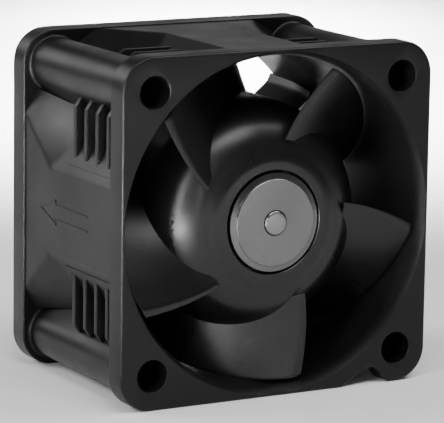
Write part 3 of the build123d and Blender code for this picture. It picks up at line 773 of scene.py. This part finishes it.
def vane_row(section, reach, growth):
    """The section at one radius, thicker by a growth on either side."""
    row = []
    for depth, across, middle in section:
        row.append((reach, depth, across + math.copysign(growth, across - middle)))
    return row


section = vane_section()
vane_rows = []
for step in range(VANE_ROWS + 1):
    reach = VANE_ROOT + (SUNK - VANE_ROOT) * step / VANE_ROWS
    from_root = max(0.0, min(reach - BASE, BORE - reach) / ROOT_REACH)
    vane_rows.append(vane_row(section, reach, ROOT_GROWTH * max(0.0, 1 - from_root) ** 2))
vane = skin("vanes", vane_rows, closed=False)
close_ends(vane)
vane.data.transform(Matrix.Rotation(-math.pi / 2, 4, "Y"))
repeat(vane, frame_plastic, VANES)
dress(vane, frame_plastic, "frame", "housing")

# %% [markdown]
# The hub is a dome with a flat ring at its front, and the steel nose of the rotor cup sits in the
# ring. It is turned from a profile: ring, soft shoulder, a quarter of an ellipse, then a plain
# cylinder. The ellipse comes from its formula, so that it runs into the cylinder without a crease.

# %% Hub
HUB = 13.5
HUB_INNER = 12.32
HUB_REAR = 4.4
HUB_FRONT = -12.8
SOCKET = 6.0
DOME_START = 7.45
DOME_BACK = -5.3
DOME_DEPTH = 7.2
DOME_STEPS = 24
dome = []
for step in range(2, DOME_STEPS + 1):
    angle = math.radians(-90 + 90 * step / DOME_STEPS)
    radius = DOME_START + (HUB - DOME_START) * math.cos(angle)
    dome.append((radius, DOME_BACK + DOME_DEPTH * math.sin(angle)))
hub_profile = [(SOCKET, -12.0), (SOCKET, HUB_FRONT + 0.08), (SOCKET + 0.08, HUB_FRONT), (6.8, HUB_FRONT)]
hub_profile += [(7.05, -12.785), (7.3, -12.745), (7.55, -12.68), (7.8, -12.6), (8.02, -12.52)] + dome
hub_profile += [(HUB, HUB_REAR - 0.1), (HUB - 0.08, HUB_REAR), (HUB_INNER, HUB_REAR), (HUB_INNER, -8.0)]
hub_profile += [(10.8, -9.4), (SOCKET, -10.3)]
hub = turned("hub", hub_profile)
dress(hub, rotor_plastic, "rotor", "impeller", angle=35.0)

# %% [markdown]
# A blade is a thin cambered sheet. Its leading edge is a flat strip across the axis that sweeps
# round as it goes outwards, and from there the section follows one arc at every radius. The same
# rule that shaped the solid gives the points here, on a finer grid, a Bevel takes the sharpness off
# its edges, and the tree sets five blades round the hub.

# %% Blades
BLADES = 5
BLADE_FRONT = -12.6
CHORD = 16.2
ROOT = 9.5
TIP = 18.8
LEAD = math.radians(65.5)
CAMBER_RADIUS = 42.2
FIRST_ANGLE = 83.4
SWEEP = 2.25
SWEEP_EASE = 0.048
EDGE_THICK = 0.42
BELLY = 0.43
ROOT_TAPER = 0.4
TAPER_DEPTH = 4.0
BLADE_ROUND = 0.06
OUTWARD_STEPS = 28
BACKWARD_STEPS = 36
FRONT_CROWDING = 1.3


def blade_angle(radius, depth_in, side):
    """Angle about the axis of one side of a blade, at a radius and a depth behind its front edge."""
    slope = math.asin(math.sin(LEAD) - depth_in / CAMBER_RADIUS)
    camber = CAMBER_RADIUS * (math.cos(slope) - math.cos(LEAD))
    reach = radius - ROOT
    first = math.radians(FIRST_ANGLE - SWEEP * reach + SWEEP_EASE * reach ** 2)
    thickness = EDGE_THICK + BELLY * math.sin(math.pi * depth_in / CHORD)
    taper = ROOT_TAPER + (1 - ROOT_TAPER) * reach / (TIP - ROOT)
    taper += (1 - taper) * min(1.0, depth_in / TAPER_DEPTH)
    half_width = taper * thickness / (2 * math.cos(slope))
    lead_width = EDGE_THICK / (2 * math.cos(LEAD))
    return first + (side * half_width - lead_width - camber) / radius


def blade():
    """One blade as a closed skin, out along one side and back along the other at each depth."""
    radii = [ROOT + (TIP - ROOT) * i / OUTWARD_STEPS for i in range(OUTWARD_STEPS + 1)]
    depths = [CHORD * (i / BACKWARD_STEPS) ** FRONT_CROWDING for i in range(BACKWARD_STEPS + 1)]
    rings = []
    for depth_in in depths:
        ring = []
        for side, line in ((1, radii), (-1, radii[::-1])):
            for radius in line:
                angle = blade_angle(radius, depth_in, side)
                ring.append((radius * math.cos(angle), BLADE_FRONT + depth_in, radius * math.sin(angle)))
        rings.append(ring)
    piece = skin("blades", rings, closed=False)
    count = len(rings[0])
    work = bmesh.new()
    work.from_mesh(piece.data)
    work.verts.ensure_lookup_table()
    for row in (0, len(rings) - 1):
        for i in range(count // 2 - 1):
            a, b = row * count + i, row * count + i + 1
            c, d = row * count + count - 2 - i, row * count + count - 1 - i
            work.faces.new([work.verts[k] for k in (a, b, c, d)])
    bmesh.ops.recalc_face_normals(work, faces=work.faces)
    work.to_mesh(piece.data)
    work.free()
    return piece


blades = soften(blade(), BLADE_ROUND)
repeat(blades, rotor_plastic, BLADES)
dress(blades, rotor_plastic, "rotor", "impeller")

# %% [markdown]
# The rotor cup is drawn from thin steel sheet, and its nose sits in the hub's ring. The nose is flat,
# with a fine step down to a narrow rim. All its edges are circles about the axis, so one turned
# profile holds them all, and shading keeps only the sharp ones.

# %% Rotor cup
NOSE_FACE = -13.2
NOSE = 5.72
CUP = 12.3
CUP_INNER = 11.6
CUP_REAR = 3.8
SHAFT_HOLE = 1.46
cup_profile = [(SHAFT_HOLE, NOSE_FACE + 0.04), (1.5, NOSE_FACE), (1.6, NOSE_FACE), (4.88, NOSE_FACE)]
cup_profile += [(4.96, NOSE_FACE), (5.02, -13.15), (5.04, -13.03), (5.1, -12.99), (5.55, -12.92)]
cup_profile += [(NOSE - 0.04, -12.86), (NOSE, -12.74), (NOSE, -10.5), (NOSE + 0.08, -10.38), (11.0, -9.5)]
cup_profile += arc((CUP - 1.5, -8.0), 1.5, -75, 0, 6)
cup_profile += [(CUP, CUP_REAR - 0.05), (CUP - 0.05, CUP_REAR), (CUP_INNER + 0.05, CUP_REAR)]
cup_profile += [(CUP_INNER, CUP_REAR - 0.05), (CUP_INNER, -8.4), (4.8, -9.7), (4.8, -12.5)]
cup_profile.append((SHAFT_HOLE, -12.5))
cup = turned("cup", cup_profile)
dress(cup, cup_steel, "rotor", "rotor_cup", angle=25.0)

# %% [markdown]
# The shaft comes through the middle of the nose. Its end is nearly flat, with a fine ring where it
# meets the cup. Only that end shows, but the shaft is turned at its whole length, with the groove
# for its clip, because it takes the place of the solid one.

# %% Shaft
SHAFT = 1.5
SHAFT_REAR = 12.2
GROOVE = 1.3
GROOVE_FRONT = 11.3
GROOVE_REAR = 11.7
shaft_profile = [(0.001, -13.45), (0.6, -13.447), (1.18, -13.44), (1.28, -13.42), (1.38, -13.32)]
shaft_profile += [(1.4, -13.26), (1.4, -12.9), (SHAFT, -12.8), (SHAFT, GROOVE_FRONT)]
shaft_profile += [(GROOVE, GROOVE_FRONT), (GROOVE, GROOVE_REAR), (SHAFT, GROOVE_REAR)]
shaft_profile += [(SHAFT, SHAFT_REAR - 0.1), (SHAFT - 0.1, SHAFT_REAR), (0.001, SHAFT_REAR)]
shaft_end = turned("shaft_end", shaft_profile, steps=96)
dress(shaft_end, shaft_steel, "rotor", "shaft", angle=40.0)

# %% [markdown]
# A flow arrow is moulded on the left side. It is only an outline, a fine raised line that points
# from the inlet to the outlet. A bump in the finish could draw it, but only real edges catch the
# light from the side. So short bars follow the outline, each sunk a little in the wall.

# %% Flow arrow
ARROW_TAIL = -5.1
ARROW_NECK = 2.9
ARROW_TIP = 6.8
ARROW_BAR = 0.85
ARROW_HEAD = 1.42
ARROW_WIDTH = 0.16
ARROW_HEIGHT = 0.06
ARROW_SINK = 0.05


def strip(name, points):
    """Raised line on the left pad, along points given as depth and height."""
    work = bmesh.new()
    for (y0, z0), (y1, z1) in zip(points, points[1:]):
        run = Vector((y1 - y0, z1 - z0)).normalized()
        side = Vector((-run.y, run.x)) * ARROW_WIDTH / 2
        ends = [Vector((y0, z0)) - run * ARROW_WIDTH / 2, Vector((y1, z1)) + run * ARROW_WIDTH / 2]
        corners = [ends[0] - side, ends[1] - side, ends[1] + side, ends[0] + side]
        low = [work.verts.new(Vector((ARROW_SINK - PAD, c.x, c.y)) * MM) for c in corners]
        high = [work.verts.new(Vector((-ARROW_HEIGHT - PAD, c.x, c.y)) * MM) for c in corners]
        work.faces.new(high)
        work.faces.new(low[::-1])
        for i in range(4):
            work.faces.new((low[i], low[(i + 1) % 4], high[(i + 1) % 4], high[i]))
    bmesh.ops.recalc_face_normals(work, faces=work.faces)
    mesh = bpy.data.meshes.new(name)
    work.to_mesh(mesh)
    work.free()
    return placed(name, mesh)


upper_half = [(ARROW_TAIL, ARROW_BAR), (ARROW_NECK, ARROW_BAR), (ARROW_NECK, ARROW_HEAD)]
lower_half = [(y, -z) for y, z in reversed(upper_half)]
arrow_line = upper_half + [(ARROW_TIP, 0.0)] + lower_half
arrow = strip("flow_arrow", arrow_line)
dress(arrow, frame_plastic, "frame")

# %% [markdown]
# The floor is one plain pale sheet under the fan. Black satin plastic shows little but what it
# mirrors, so each panel stands where one group of faces mirrors it towards the camera: behind the fan
# for the top and the left side, to the left for the round edges, above for the hub. Two panels with a
# narrow beam light the floor, behind the fan and to its left, and a faint pale world fills the
# shadows.

# %% Floor and light
FLOOR = -HALF * MM
WIDE = 3.0
floor_mesh = bpy.data.meshes.new("floor")
floor_corners = [(x * WIDE, z * WIDE, FLOOR) for x, z in ((-1, -1), (1, -1), (1, 1), (-1, 1))]
floor_mesh.from_pydata(floor_corners, [], [(0, 1, 2, 3)])
floor = placed("floor", floor_mesh)
floor_paper = finish("floor_paper", (0.9, 0.9, 0.9), 0.8, grain=900.0, bump=0.02, tint=0.01)
floor.data.materials.append(floor_paper)


def panel(name, place, size, power, spread=180.0):
    """Soft light that looks at the fan: place and size in metres, power in watts, spread in degrees."""
    light = bpy.data.lights.new(name, "AREA")
    light.shape = "RECTANGLE"
    light.size, light.size_y = size
    light.energy = power
    light.spread = math.radians(spread)
    lamp = bpy.data.objects.new(name, light)
    lamp.location = place
    lamp.rotation_euler = (-Vector(place)).to_track_quat("-Z", "Y").to_euler()
    bpy.context.scene.collection.objects.link(lamp)
    return lamp


floor_light = panel("floor_panel", (0.12, 0.215, 0.20), (0.06, 0.22), 1.0, spread=40.0)
floor_light.rotation_euler = (0, 0, math.atan2(back.x, -back.y))
panel("back_panel", (0.54, 0.94, 0.36), (0.75, 0.36), 0.45)
panel("back_left_panel", (-0.30, 0.60, 0.27), (0.4, 0.24), 0.8)
panel("side_panel", (-0.44, 0.28, 0.31), (0.3, 0.2), 2.0)
panel("left_strip", (-0.45, -0.24, 0.10), (0.06, 0.45), 1.6)
panel("front_strip", (-0.20, -0.50, 0.10), (0.03, 0.3), 0.3)
panel("top_panel", (-0.04, -0.24, 0.46), (0.36, 0.2), 1.7)
panel("top_right_panel", (0.27, -0.08, 0.42), (0.25, 0.2), 1.1)
left_floor_light = panel("left_floor_panel", (-0.12, -0.065, 0.10), (0.08, 0.08), 1.4, spread=50.0)
left_floor_light.rotation_euler = (0, 0, 0)
panel("low_panel", (0.03, -0.16, -0.012), (0.12, 0.012), 0.012)
world = bpy.data.worlds.new("world")
world.use_nodes = True
world.node_tree.nodes["Background"].inputs["Color"].default_value = (1, 1, 1, 1)
world.node_tree.nodes["Background"].inputs["Strength"].default_value = 0.08
bpy.context.scene.world = world
print("lights:", len(bpy.data.lights))
